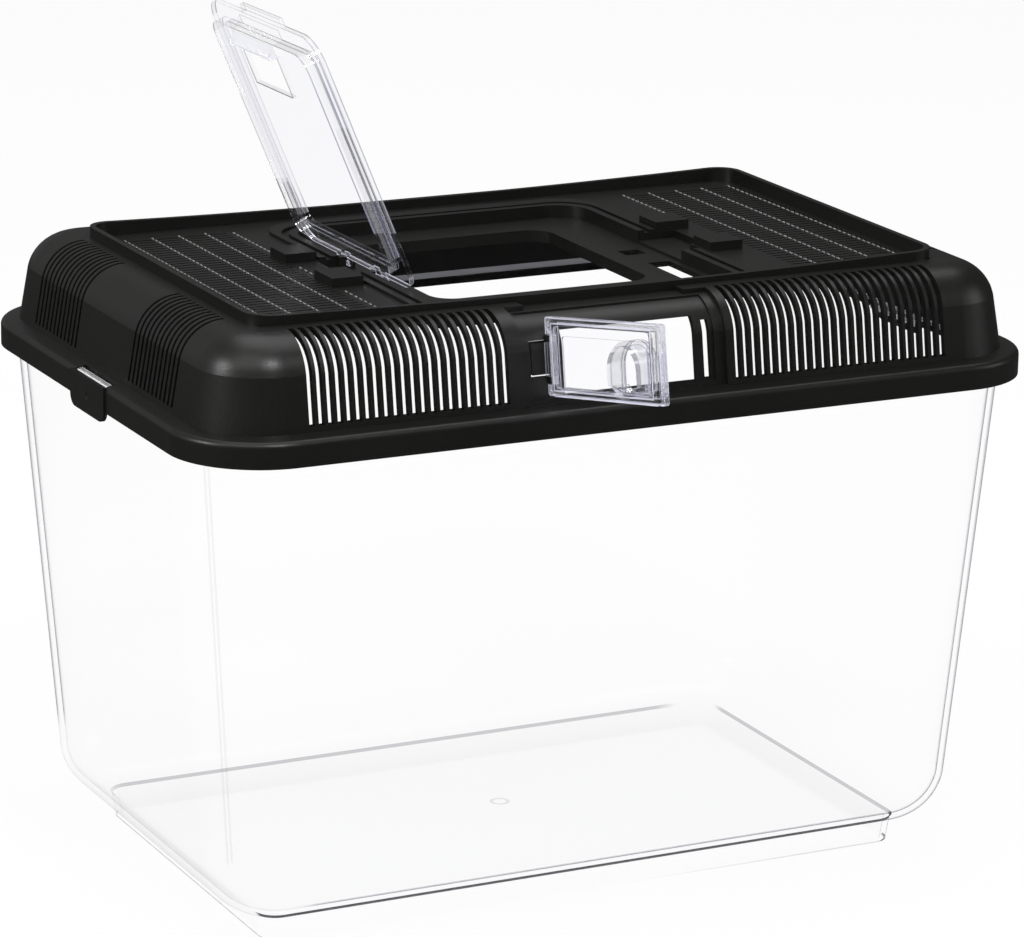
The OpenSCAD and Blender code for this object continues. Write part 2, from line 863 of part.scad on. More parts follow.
// ---------- hatch door ----------
// outline with hinge corners of radius rh and free corners of radius rf
module hatch_2d(s0, s1, y0, y1, rh, rf) {
  translate([s0 + rh, y0])
    square([s1 - s0 - rh - rf, y1 - y0]);
  translate([s0, y0 + rh])
    square([rh + past, y1 - y0 - 2*rh]);
  translate([s1 - rf - past, y0 + rf])
    square([rf + past, y1 - y0 - 2*rf]);
  for (y = [y0 + rf, y1 - rf])
    translate([s1 - rf, y])
      circle(rf);
  for (y = [y0 + rh, y1 - rh])
    translate([s0 + rh, y])
      circle(rh);
}

// outline of the raised panel, shrunk by d
module panel_2d(d) {
  hatch_2d(
    hinge_edge + lip_hinge + d, hatch_len - lip_end - d,
    hatch_y0 + lip_front + d, hatch_y1 - lip_back - d,
    5 - d, 6.5 - d
  );
}

// knuckle and pin beside one ear, d says on which side of the ear the knuckle lies
module hatch_knuckle(ear, d) {
  len = 4.2;
  y = d > 0 ? ear + ear_w + 0.4 : ear - 0.4 - len;
  pin = d > 0 ? ear - 0.2 : ear + ear_w + 0.2 - pin_len - len;
  translate([0, y + len, 0])
    rotate([90, 0, 0])
      cylinder(r = knuckle_r, h = len);
  translate([0, y, hatch_lo])
    cube([hinge_edge + hatch_rh, len, hatch_t]);
  translate([0, pin + pin_len + len, 0])
    rotate([90, 0, 0])
      cylinder(r = pin_r, h = pin_len + len);
}

// hatch lying closed, hinge axis on the Y axis
module hatch_flat() {
  s_cut = hatch_len - cut_in - cut_len;
  difference() {
    union() {
      translate([0, 0, hatch_lo])
        linear_extrude(hatch_t)
          hatch_2d(hinge_edge, hatch_len, hatch_y0, hatch_y1, hatch_rh, hatch_r);
      translate([0, 0, hatch_lo])
        linear_extrude(hatch_t + hatch_raise)
          panel_2d(0);
      translate([hatch_len - 1, tongue_y - tongue_w/2, hatch_lo + 0.2])
        cube([1 + tongue_len, tongue_w, hatch_t - 0.4]);
    }
    translate([0, 0, hatch_lo - past])
      linear_extrude(hatch_raise + past)
        panel_2d(hatch_t);
    translate([s_cut, grip_y - cut_w/2, hatch_lo - past])
      cube([cut_len, cut_w, panel_top - hatch_lo + 2*past]);
    for (y = ears_at)
      translate([-past, y - 0.5, hatch_lo - 2])
        cube([past + 3, ear_w + 1, 8]);
  }
  translate([hatch_len, grip_y + grip_w/2, 0])
    rotate([90, 0, 0])
      linear_extrude(grip_w)
        polygon([
          [-cut_in + 0.1, panel_top - hatch_t],
          [-cut_in + 0.1, panel_top],
          [1 - cut_in, grip_h],
          [2.3 - cut_in, grip_h],
          [-1.1, hatch_hi],
          [-1.1, hatch_lo + 0.3],
          [-lip_end, hatch_lo + 0.3],
          [-lip_end - hatch_t, panel_top - hatch_t]
        ]);
  hatch_knuckle(ears_at[0], 1);
  hatch_knuckle(ears_at[1], -1);
}

module top_door() {
  color([0.93, 0.93, 0.97, 0.35])
    translate([hatch_x, 0, seat_z + hatch_z])
      rotate([0, -hatch_open, 0])
        hatch_flat();
}

// ---------- feeding door ----------
// D shape of the feeding pocket, s along X and h along Y, shrunk by d
module pocket_2d(d) {
  r = pocket_w/2;
  translate([pocket_s + d, pocket_z + d])
    square([pocket_w - 2*d, pocket_top - r - pocket_z - d]);
  translate([pocket_s + r, pocket_top - r])
    circle(r - d);
}

// flat shape in s and h as a plate from depth n0 to n1
module plate(n0, n1) {
  translate([0, n1, 0])
    rotate([90, 0, 0])
      linear_extrude(n1 - n0)
        children();
}

// feeding door lying closed: s along X, outward along -Y, h along Z from the lower edge
module feed_flat() {
  h0 = 6.2;
  roll = 10.5;
  difference() {
    union() {
      plate(feed_front, feed_back)
        box2(-1, feed_len, 0, feed_h, 1);
      plate(feed_front - frame_t, feed_front + 0.1)
        box2(1.6, feed_len, 0, feed_h, feed_r);
      plate(feed_back - 0.5, feed_back + pocket_d)
        pocket_2d(0);
      plate(feed_back - 0.5, feed_back + 0.8)
        box2(
          win_x0 - feed_x + 1, win_x1 - feed_x - 0.9,
          pocket_z - 1.3, win_z0 + win_h - feed_z0 - 0.5, 1
        );
    }
    plate(feed_front - frame_t - past, feed_front + 0.5)
      box2(frame_hinge, feed_len - frame_free, frame_w, feed_h - frame_w, 2);
    plate(feed_front - past, feed_back + pocket_d - pocket_t)
      pocket_2d(pocket_t);
    translate([-3, -4, h0 - 2.6])
      cube([5.6, 7.2, roll + 5.2]);
  }
  translate([feed_len - 6.2, feed_back - 0.5, 7])
    cube([1.6, 3.6, 8.6]);
  difference() {
    union() {
      translate([0, 0, h0])
        cylinder(r = roll_r, h = roll);
      translate([0, feed_front, h0])
        cube([4.5, feed_t, roll]);
    }
    translate([0, 0, h0 - past])
      cylinder(r = bar_r + pin_play, h = roll + 2*past);
    translate([-4, -0.8, h0 - past])
      cube([4, 1.6, roll + 2*past]);
  }
}

module front_door() {
  color([0.93, 0.93, 0.97, 0.35])
    translate([0, 0, seat_z])
      on_feed_axis()
        rotate([0, 0, -feed_open])
          feed_flat();
}

tub();
lid();
top_door();
front_door();
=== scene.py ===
import math

import bpy
from bpy.props import FloatProperty, FloatVectorProperty, PointerProperty
from mathutils import Matrix, Vector


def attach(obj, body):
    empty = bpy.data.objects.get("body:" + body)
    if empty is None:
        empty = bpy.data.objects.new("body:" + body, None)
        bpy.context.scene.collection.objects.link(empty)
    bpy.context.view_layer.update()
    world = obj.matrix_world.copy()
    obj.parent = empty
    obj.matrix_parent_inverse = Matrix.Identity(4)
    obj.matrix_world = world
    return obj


bl_info = {
    "name": "Pet Keeper Finish",
    "version": (1, 0, 0),
    "blender": (4, 5, 0),
    "location": "View3D > Sidebar > Pet Keeper",
    "description": "Finishes, grille beads, mould marks and a plain studio for a clear pet keeper with a slatted lid",
    "category": "Object",
}

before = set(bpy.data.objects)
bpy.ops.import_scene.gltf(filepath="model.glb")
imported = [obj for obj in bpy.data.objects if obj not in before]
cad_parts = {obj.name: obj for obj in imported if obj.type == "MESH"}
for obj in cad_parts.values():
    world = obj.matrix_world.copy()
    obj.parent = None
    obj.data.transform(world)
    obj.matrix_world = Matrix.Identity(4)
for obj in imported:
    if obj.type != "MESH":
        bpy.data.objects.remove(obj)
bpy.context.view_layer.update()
MM = 0.001

# ---------- grille in mm: its ribs as (x, lowest y, highest y), and the deck's height ----------
GRILLE_RIBS = (
    (-111.9, -59.6, 59.6),
    (-102.2, -59.6, 59.6),
    (-92.7, -59.6, 59.6),
    (-83.2, -59.6, 59.6),
    (-74.0, 28.0, 57.0),
    (-74.0, -10.6, 2.0),
    (-74.0, -56.0, -34.0),
    (74.5, 24.0, 59.6),
    (84.5, -59.6, 59.6),
    (95.1, -59.6, 59.6),
    (105.4, -59.6, 59.6),
    (116.2, -59.6, 59.6),
)
DECK_TOP = 202.0

# ---------- tub in m: places of its painted lines of shade and of its marks; a box gives ranges of X, Y and Z ---
TUB_CENTRES = (0.110, 0.061, 0.0)  # corner centres in plan
CREASE_OUT = (0.0071, 0.0078)  # crease between wall and foot, beyond the corner centres
CREASE_UP = (None, None, (0.0079, 0.0091))
CREASE_FRONT = (None, (-0.0725, -0.0645), None)
CREASE_RIGHT = ((0.1125, 0.1190), (-0.062, 0.055), None)
CREASE_BACK = ((-0.110, 0.095), (0.0635, 0.070), None)
SOLE_OUT = (0.0052, 0.0056)
SOLE_UP = (None, None, (-0.0002, 0.0004))
SOLE_LEFT = (-0.1145, -0.1130)
SOLE_FRONT = (-0.0650, -0.0600)
SOLE_RIGHT = (0.010, 0.100)
HEEL = ((0.1125, 0.1190), (-0.0690, -0.0610), None)
LOW_LEFT = ((-0.140, -0.108), None, (-0.001, 0.030))
CORNER = ((-0.150, -0.115), (-0.100, -0.063), (0.032, 0.168))
CORNER_CENTRE = (-0.110, -0.061, 0.0)
CORNER_ACROSS = (0.5, -0.866, 0.0)
CORNER_HALF = 0.0003
FLOOR_FACE = (None, None, (0.0, 0.0095))
UPPER_EDGE = (None, None, (0.1699, 0.1730))
LUG_OUT = (0.1456, 0.1459)
LUG = (None, (-0.0185, 0.0115), (0.166, 0.176))

# ---------- hatch in m: hinge axis, directions across and along its plate, and distances from the axis ----------
HATCH_AXIS = (-0.0542, 0.0, 0.2008)
HATCH_ACROSS = (-0.9178, 0.0, -0.3971)
HATCH_ALONG = (-0.3971, 0.0, 0.9178)
HATCH_LEVELS = (-0.00135, 0.00030, 0.00405)  # edges of its walls
HATCH_LINE_HALF = 0.0002
HATCH_FOOT = (0.0004, 0.0009)
HATCH_HINGE = (0.0060, 0.0090)
HATCH_FREE_END = (0.070, 0.085)
HATCH_GRIP_TOP = (0.00425, 0.0045)
HATCH_GRIP = (None, (-0.0185, 0.0133), (0.25, 0.30))
HATCH_FRONT = (None, (-0.0445, -0.0330), None)
HATCH_REAR = (None, (0.020, 0.060), (0.225, 0.300))

# ---------- feeding door in m: the same, with its plate and panel as (away from the hinge, up) ----------
FEED_AXIS = (-0.0296, -0.0933, 0.1778)
FEED_ACROSS = (0.99, 0.1389, -0.0236)
FEED_ALONG = (0.1409, -0.976, 0.1659)
FEED_UP = (0.0, 0.1676, 0.9859)
FEED_PLATE = ((-0.0010, 0.0609), (0.0, 0.0248))
FEED_PANEL = ((0.0044, 0.0555), (0.0026, 0.0222))
FEED_POCKET = (0.0003, 0.0006)  # depth at which its pocket starts
FEED_LEVELS = (0.0006, 0.0057, 0.0071)  # depths of the pocket's edges
FEED_LINE_HALF = 0.0003

# ---------- plastics and studio ----------
STYRENE_IOR = 1.57
PROPENE_IOR = 1.49
WHITE = (1.0, 1.0, 1.0, 1.0)
PALE_WALL = (-0.75, 0.45, 0.1)  # direction towards the palest wall of the room
FLOOR_HALF = 6.0
CAMERA_PLACE = (-0.66495, -1.33686, 0.54378)
CAMERA_TURN = (26.54, -15.60, 0.90)  # yaw, pitch and roll in degrees

# settings of two kinds of node that are used often
SMOOTH = {"interpolation_type": "SMOOTHSTEP"}
COLOURS = {"data_type": "RGBA"}


# ---------- colours and node helpers ----------
def linear(hex_colour, alpha=1.0):
    """Turns an sRGB hex colour into the linear values that a shader takes."""
    values = [int(hex_colour[i : i + 2], 16) / 255 for i in (0, 2, 4)]
    lin = [v / 12.92 if v <= 0.04045 else ((v + 0.055) / 1.055) ** 2.4 for v in values]
    return (*lin, alpha)


def settings_hex(colour):
    """Hex text of a display colour held in a setting."""
    return "".join(f"{round(c * 255):02x}" for c in colour[:3])


def add_node(tree, kind, inputs=(), **settings):
    """Adds a node, sets its settings, and fills or links its inputs.

    Inputs come in order or by key; a node given as an input links its first output.
    """
    node = tree.nodes.new(kind)
    for key, value in settings.items():
        setattr(node, key, value)
    for key, value in inputs.items() if isinstance(inputs, dict) else enumerate(inputs):
        if isinstance(value, bpy.types.Node):
            value = value.outputs[0]
        if isinstance(value, bpy.types.NodeSocket):
            tree.links.new(value, node.inputs[key])
        else:
            node.inputs[key].default_value = value
    return node


def new_material(name):
    """Makes an empty node material with its output."""
    material = bpy.data.materials.new(name)
    material.use_nodes = True
    tree = material.node_tree
    tree.nodes.clear()
    out = tree.nodes.new("ShaderNodeOutputMaterial")
    return material, tree, out


def combine(tree, operation, first, *others):
    """Takes several values together, two at a time: MULTIPLY where all have to hold, MAXIMUM where any may."""
    for value in others:
        first = add_node(tree, "ShaderNodeMath", (first, value), operation=operation)
    return first


# ---------- masks ----------
def window(tree, value, low, high, soft=0.0001):
    """1 between two values, 0 outside them, with soft ends."""
    rise = add_node(tree, "ShaderNodeMapRange", (value, low - soft, low), **SMOOTH)
    fall = add_node(tree, "ShaderNodeMapRange", (value, high, high + soft, 1.0, 0.0), **SMOOTH)
    return combine(tree, "MULTIPLY", rise, fall)


def lines_at(tree, value, levels, half, soft):
    """1 within half a line's width of any of the levels, 0 elsewhere, with soft ends."""
    return combine(tree, "MAXIMUM", *(window(tree, value, level - half, level + half, soft) for level in levels))


def inset(tree, value, span):
    """How far a value lies inside a span, negative outside it."""
    off = add_node(tree, "ShaderNodeMath", (value, -(span[0] + span[1]) / 2), operation="ADD")
    far = add_node(tree, "ShaderNodeMath", (off,), operation="ABSOLUTE")
    return add_node(tree, "ShaderNodeMath", ((span[1] - span[0]) / 2, far), operation="SUBTRACT")


def box_mask(tree, place, box, soft):
    """1 inside the given ranges of X, Y and Z, in metres, 0 outside; None leaves an axis free."""
    axes = add_node(tree, "ShaderNodeSeparateXYZ", (place,))
    depths = [inset(tree, axes.outputs[axis], span) for axis, span in zip("XYZ", box) if span is not None]
    parts = [add_node(tree, "ShaderNodeMapRange", (depth, -soft, 0.0), **SMOOTH) for depth in depths]
    return combine(tree, "MULTIPLY", *parts)


def across_mask(tree, coords, direction):
    """1 on the faces of a plate, 0 on its edges and on walls that stand on it."""
    turned = add_node(tree, "ShaderNodeVectorMath", (coords.outputs["Normal"], direction), operation="DOT_PRODUCT")
    size = add_node(tree, "ShaderNodeMath", (turned.outputs["Value"],), operation="ABSOLUTE")
    return add_node(tree, "ShaderNodeMapRange", (size, 0.6, 0.98), **SMOOTH)


def along(tree, place, origin, direction):
    """Distance of a point from the origin along a direction, in metres."""
    moved = add_node(tree, "ShaderNodeVectorMath", (place, origin), operation="SUBTRACT")
    return add_node(tree, "ShaderNodeVectorMath", (moved, direction), operation="DOT_PRODUCT").outputs["Value"]


def reach_out(tree, place):
    """Distance in plan beyond the rectangle of the tub's corner centres, in metres."""
    size = add_node(tree, "ShaderNodeVectorMath", (place,), operation="ABSOLUTE")
    past = add_node(tree, "ShaderNodeVectorMath", (size, TUB_CENTRES), operation="SUBTRACT")
    kept = add_node(tree, "ShaderNodeVectorMath", (past, (0.0, 0.0, 0.0)), operation="MAXIMUM")
    flat = add_node(tree, "ShaderNodeVectorMath", (kept, (1.0, 1.0, 0.0)), operation="MULTIPLY")
    return add_node(tree, "ShaderNodeVectorMath", (flat,), operation="LENGTH").outputs["Value"]


# ---------- black plastic ----------
def black_moulding(settings):
    """Polypropylene coloured black, injection moulded in a spark-eroded tool: satin, with a fine grain."""
    material, tree, out = new_material("black_polypropylene_moulded")
    place = add_node(tree, "ShaderNodeTexCoord").outputs["Object"]
    # real grain is about 0.1 mm; drawn coarser so that it shows
    fine = {"Vector": place, "Scale": 1 / settings.grain_size, "Detail": 2.0, "Roughness": 0.55}
    grain = add_node(tree, "ShaderNodeTexNoise", fine)
    cloud = add_node(tree, "ShaderNodeTexNoise", {"Vector": place, "Scale": 28.0, "Detail": 3.0, "Roughness": 0.5})
    smoothest, roughest = settings.roughness - 0.05, settings.roughness + 0.06
    rough = add_node(tree, "ShaderNodeMapRange", (grain, 0.3, 0.7, smoothest, roughest), **SMOOTH)
    bump = add_node(tree, "ShaderNodeBump", {"Height": grain, "Strength": 0.14, "Distance": 0.00008})
    black = add_node(tree, "ShaderNodeMix", {0: cloud, 6: linear("0b0b0a"), 7: linear("141412")}, **COLOURS)
    shader = add_node(
        tree,
        "ShaderNodeBsdfPrincipled",
        {
            "Base Color": black.outputs[2],
            "Roughness": rough,
            "Normal": bump,
            "IOR": PROPENE_IOR,
            "Specular IOR Level": 0.42,
        },
    )
    tree.links.new(shader.outputs[0], out.inputs[0])
    return material


def rib_top_painted_highlight():
    """Crowned tops of the grille's ribs: the same black plastic, painted grey as a highlight standing in for the light
    along their tops.
    """
    material, tree, out = new_material("rib_tops_painted_highlight")
    place = add_node(tree, "ShaderNodeTexCoord").outputs["Object"]
    spots = add_node(tree, "ShaderNodeTexNoise", {"Vector": place, "Scale": 900.0, "Detail": 2.0})
    # painted highlight: grey base colour for the light that the rib tops catch, with random spots
    grey = add_node(tree, "ShaderNodeMix", {0: spots, 6: linear("505052"), 7: linear("909090")}, **COLOURS)
    look = {"Base Color": grey.outputs[2], "Roughness": 0.38, "IOR": PROPENE_IOR}
    shader = add_node(tree, "ShaderNodeBsdfPrincipled", look)
    tree.links.new(shader.outputs[0], out.inputs[0])
    return material


# ---------- clear plastic ----------
def clear_body(tree, place, tint, ripple, haze_and_sheen=0.0, extra=0.0):
    """Solid clear polystyrene with the slight flow ripple of a moulded face, a milky white share from 0 to 1 that is
    real frost on a grip and painted sheen elsewhere, and extra roughness.
    """
    flow = add_node(tree, "ShaderNodeTexNoise", {"Vector": place, "Scale": 18.0, "Detail": 1.5, "Roughness": 0.4})
    bump = add_node(tree, "ShaderNodeBump", {"Height": flow, "Strength": 0.2, "Distance": ripple})
    rough = add_node(tree, "ShaderNodeMapRange", (flow, 0.3, 0.7, 0.004, 0.02), **SMOOTH)
    rough = add_node(tree, "ShaderNodeMath", (rough, extra), operation="ADD")
    body = add_node(
        tree,
        "ShaderNodeBsdfPrincipled",
        {"Base Color": tint, "Roughness": rough, "Normal": bump, "IOR": STYRENE_IOR, "Transmission Weight": 1.0},
    )
    # milky white: real frost on the hatch's grip, painted sheen on the doors' lines and walls
    milk_and_sheen = add_node(tree, "ShaderNodeBsdfDiffuse", {"Color": linear("dcdce9")})
    return add_node(tree, "ShaderNodeMixShader", (haze_and_sheen, body, milk_and_sheen))


def see_through(tree, solid, share, pale, gloss):
    """Plain see-through plastic with a light gloss, and the share of a refracting solid's shader over it."""
    bare = add_node(tree, "ShaderNodeBsdfTransparent", {"Color": pale})
    shine = add_node(tree, "ShaderNodeBsdfGlossy", {"Color": WHITE, "Roughness": 0.04})
    mirror = add_node(tree, "ShaderNodeFresnel", {"IOR": STYRENE_IOR})
    behind = add_node(tree, "ShaderNodeNewGeometry").outputs["Backfacing"]
    outside = add_node(tree, "ShaderNodeMath", (1.0, behind), operation="SUBTRACT")
    glint = combine(tree, "MULTIPLY", mirror, gloss, outside)
    face = add_node(tree, "ShaderNodeMixShader", (glint, bare, shine))
    body = add_node(tree, "ShaderNodeMixShader", (share, face, solid))
    # lamps shine straight through, so that a clear piece casts hardly any shadow
    lit = add_node(tree, "ShaderNodeBsdfTransparent", {"Color": linear("f8f8fa")})
    shadow = add_node(tree, "ShaderNodeLightPath").outputs["Is Shadow Ray"]
    return add_node(tree, "ShaderNodeMixShader", (shadow, body, lit))


def tub_lines(tree, place):
    """Masks where lines of shade are painted: the tub's crease in front and beyond, its sole, its heel, and its front
    left corner's turn.
    """
    axes = add_node(tree, "ShaderNodeSeparateXYZ", (place,))
    out_by = reach_out(tree, place)

    # crease between wall and foot, where a line of shade is painted: in front, at the right end and at the back
    ring = window(tree, out_by, *CREASE_OUT, 0.0002)
    crease = combine(tree, "MULTIPLY", ring, box_mask(tree, place, CREASE_UP, 0.0001))
    front = combine(tree, "MULTIPLY", crease, box_mask(tree, place, CREASE_FRONT, 0.003))
    right = combine(tree, "MULTIPLY", crease, box_mask(tree, place, CREASE_RIGHT, 0.008))
    back = combine(tree, "MULTIPLY", crease, box_mask(tree, place, CREASE_BACK, 0.012))

    # the sole's edge gets a painted line of shade, shown at the left end and near the right corner only
    edge = add_node(tree, "ShaderNodeMapRange", (out_by, *SOLE_OUT), **SMOOTH)
    edge = combine(tree, "MULTIPLY", edge, box_mask(tree, place, SOLE_UP, 0.0002))
    at_left = add_node(tree, "ShaderNodeMapRange", (axes.outputs["X"], *SOLE_LEFT, 1.0, 0.0), **SMOOTH)
    in_front = add_node(tree, "ShaderNodeMapRange", (axes.outputs["Y"], *SOLE_FRONT, 1.0, 0.0), **SMOOTH)
    at_right = add_node(tree, "ShaderNodeMapRange", (axes.outputs["X"], *SOLE_RIGHT), **SMOOTH)
    shows = combine(tree, "MAXIMUM", at_left, combine(tree, "MULTIPLY", in_front, at_right))
    sole = combine(tree, "MULTIPLY", edge, shows)
    heel = combine(tree, "MULTIPLY", edge, box_mask(tree, place, HEEL, 0.001))

    turn = along(tree, place, CORNER_CENTRE, CORNER_ACROSS)
    upright = window(tree, turn, -CORNER_HALF, CORNER_HALF, CORNER_HALF)
    corner = combine(tree, "MULTIPLY", upright, box_mask(tree, place, CORNER, 0.002))
    return front, combine(tree, "MAXIMUM", right, back), sole, heel, corner


def gate_ring(tree, place, radius):
    """Mask of the ring that the gate leaves in the middle of the floor: a real mark, drawn with painted grey shade."""
    spread = add_node(tree, "ShaderNodeVectorMath", (place, (1.0, 1.0, 0.0)), operation="MULTIPLY")
    far = add_node(tree, "ShaderNodeVectorMath", (spread,), operation="LENGTH").outputs["Value"]
    rise = add_node(tree, "ShaderNodeMapRange", (far, radius * 0.6, radius * 0.8), **SMOOTH)
    fall = add_node(tree, "ShaderNodeMapRange", (far, radius, radius * 1.15, 1.0, 0.0), **SMOOTH)
    return combine(tree, "MULTIPLY", rise, fall, box_mask(tree, place, FLOOR_FACE, 0.0004))


def tub_moulding(settings):
    """Clear polystyrene tub, polished outside: all but unseen in its faces, with painted grey shade in its bends and a
    painted dark line of shade in one crease.
    """
    material, tree, out = new_material("clear_polystyrene_tub")
    place = add_node(tree, "ShaderNodeTexCoord").outputs["Object"]

    # painted shade: bends turn grey; the low one at the left end lies against white and goes all but unseen
    facing = add_node(tree, "ShaderNodeLayerWeight", {"Blend": 0.5}).outputs["Facing"]
    turned = add_node(tree, "ShaderNodeMapRange", (facing, 0.74, 1.0), **SMOOTH)
    low_left = box_mask(tree, place, LOW_LEFT, 0.012)
    calm = add_node(tree, "ShaderNodeMapRange", (low_left, 0.0, 1.0, 1.0, 0.1), **SMOOTH)
    bend = combine(tree, "MULTIPLY", turned, calm)
    bend_shade = linear(settings_hex(settings.tub_bend_shade))
    pale = add_node(tree, "ShaderNodeMix", {0: bend, 6: WHITE, 7: bend_shade}, **COLOURS).outputs[2]
    body = clear_body(tree, place, linear("fbfbfd"), 0.00012)
    share = combine(tree, "MULTIPLY", bend, settings.bend_share)
    whole = see_through(tree, body, share, pale, settings.gloss)

    # painted lines of shade: dark in front and pale grey elsewhere
    painted_line_shade = {"Base Color": linear("2a2a3c"), "Roughness": 0.25, "IOR": STYRENE_IOR}
    dark = add_node(tree, "ShaderNodeBsdfPrincipled", painted_line_shade)
    grey = add_node(tree, "ShaderNodeBsdfTransparent", {"Color": linear("c4c4c8")})
    front, beyond, sole, heel, corner = tub_lines(tree, place)

    # painted sheen: the bead round the tub's upper edge is painted grey, for the glint that it catches
    brim_sheen_settings = {"Base Color": linear("b4b4ba"), "Roughness": 0.2, "IOR": STYRENE_IOR, "Transmission Weight": 0.3}
    brim_sheen = add_node(tree, "ShaderNodeBsdfPrincipled", brim_sheen_settings)

    # lug under each side clip: frosted, with painted white highlights in lengthwise stripes about 1.2 mm apart
    axes = add_node(tree, "ShaderNodeSeparateXYZ", (place,))
    side = add_node(tree, "ShaderNodeMath", (axes.outputs["X"],), operation="ABSOLUTE")
    lug = add_node(tree, "ShaderNodeMapRange", (side, *LUG_OUT), **SMOOTH)
    lug = combine(tree, "MULTIPLY", lug, box_mask(tree, place, LUG, 0.0003))
    stripe_waves = {"Vector": place, "Scale": 196.0, "Distortion": 0.6, "Detail": 1.0}
    marks = add_node(tree, "ShaderNodeTexWave", stripe_waves, bands_direction="X").outputs["Fac"]
    stripe_highlights = add_node(tree, "ShaderNodeMix", {0: marks, 6: linear("5c5c62"), 7: WHITE}, **COLOURS).outputs[2]
    frosted = {"Base Color": stripe_highlights, "Roughness": 0.3, "IOR": STYRENE_IOR, "Transmission Weight": 0.25}
    frost = add_node(tree, "ShaderNodeBsdfPrincipled", frosted)

    # painted shade laid over the clear plastic: dark lines at the heel and in the front crease, pale grey lines beyond,
    # at the sole, at the corner's turn and round the real gate mark; then the upper edge's painted sheen and the lugs'
    # painted highlights
    for mask, strength, shader in (
        (beyond, 0.8, grey),
        (sole, 0.45, grey),
        (heel, 0.7, dark),
        (gate_ring(tree, place, settings.gate_radius), 0.4, grey),
        (corner, 0.18, grey),
        (front, 0.9, dark),
        (box_mask(tree, place, UPPER_EDGE, 0.0002), 0.6, brim_sheen),
        (lug, 1.0, frost),
    ):
        factor = combine(tree, "MULTIPLY", mask, strength)
        whole = add_node(tree, "ShaderNodeMixShader", (factor, whole, shader))
    tree.links.new(whole.outputs[0], out.inputs[0])
    return material


def hatch_moulding(settings):
    """Clear polystyrene hatch: painted lines of shade at its walls' edges, a painted violet grey shade on its front
    wall with a painted dark foot, frosted grip.
    """
    material, tree, out = new_material("clear_polystyrene_hatch")
    coords = add_node(tree, "ShaderNodeTexCoord")
    place = coords.outputs["Object"]
    flat = across_mask(tree, coords, HATCH_ACROSS)
    high = along(tree, place, HATCH_AXIS, HATCH_ACROSS)
    far = along(tree, place, HATCH_AXIS, HATCH_ALONG)
    raised = add_node(tree, "ShaderNodeMapRange", (high, *HATCH_GRIP_TOP), **SMOOTH)
    grip = combine(tree, "MULTIPLY", raised, box_mask(tree, place, HATCH_GRIP, 0.0002))
    front = box_mask(tree, place, HATCH_FRONT, 0.001)
    rear = box_mask(tree, place, HATCH_REAR, 0.008)
    hinge = add_node(tree, "ShaderNodeMapRange", (far, *HATCH_HINGE, 1.0, 0.0), **SMOOTH)

    # a wall of clear plastic shows as thin lines along its edges, painted here as lines of shade
    lines = lines_at(tree, high, HATCH_LEVELS, HATCH_LINE_HALF, HATCH_LINE_HALF)
    rise = add_node(tree, "ShaderNodeMapRange", (high, HATCH_FOOT[0] - 0.0002, HATCH_FOOT[0]), **SMOOTH)
    fall = add_node(tree, "ShaderNodeMapRange", (high, HATCH_FOOT[1], HATCH_FOOT[1] + 0.0003, 1.0, 0.0), **SMOOTH)
    foot = combine(tree, "MULTIPLY", front, rise, fall)

    # colours of painted shade: the line's, then those of wall, line, foot and face, each laid over the last, the face
    # near white
    wall_shade_tint = linear(settings_hex(settings.wall_shade_tint))
    tint = add_node(tree, "ShaderNodeMix", {0: front, 6: linear("f3f3f8"), 7: wall_shade_tint}, **COLOURS).outputs[2]
    line = add_node(tree, "ShaderNodeMix", {0: front, 6: linear("8e8e98"), 7: linear("56567e")}, **COLOURS).outputs[2]
    line = add_node(tree, "ShaderNodeMix", {0: rear, 6: line, 7: linear("dcdce2")}, **COLOURS).outputs[2]
    for mask, colour in ((lines, line), (foot, linear("45455a")), (flat, linear("fbfbfe"))):
        tint = add_node(tree, "ShaderNodeMix", {0: mask, 6: tint, 7: colour}, **COLOURS).outputs[2]

    # painted sheen: milky white near the hinge, strongest on the lines; the grip's milkiness is its real frost
    hinge_line_sheen = add_node(tree, "ShaderNodeMapRange", (lines, 0.0, 1.0, 0.05, 0.6), **SMOOTH)
    hinge_line_sheen = combine(tree, "MULTIPLY", hinge, hinge_line_sheen)
    haze_and_sheen = combine(tree, "MAXIMUM", combine(tree, "MULTIPLY", grip, 0.25), hinge_line_sheen)
    frost = add_node(tree, "ShaderNodeMapRange", (grip, 0.0, 1.0, 0.0, 0.35), **SMOOTH)
    body = clear_body(tree, place, tint, 0.0001, haze_and_sheen, frost)

    upright = add_node(tree, "ShaderNodeMapRange", (flat, 0.0, 1.0, settings.wall_share, 0.0), **SMOOTH)
    lined = add_node(tree, "ShaderNodeMapRange", (lines, 0.0, 1.0, 0.2, 1.0), **SMOOTH)
    faded = add_node(tree, "ShaderNodeMapRange", (far, *HATCH_FREE_END, 1.0, 0.7), **SMOOTH)
    walls = combine(tree, "MULTIPLY", upright, lined, faded)
    share = combine(tree, "MAXIMUM", walls, combine(tree, "MULTIPLY", grip, 0.8))
    whole = see_through(tree, body, share, linear("fefeff"), settings.gloss)
    tree.links.new(whole.outputs[0], out.inputs[0])
    return material


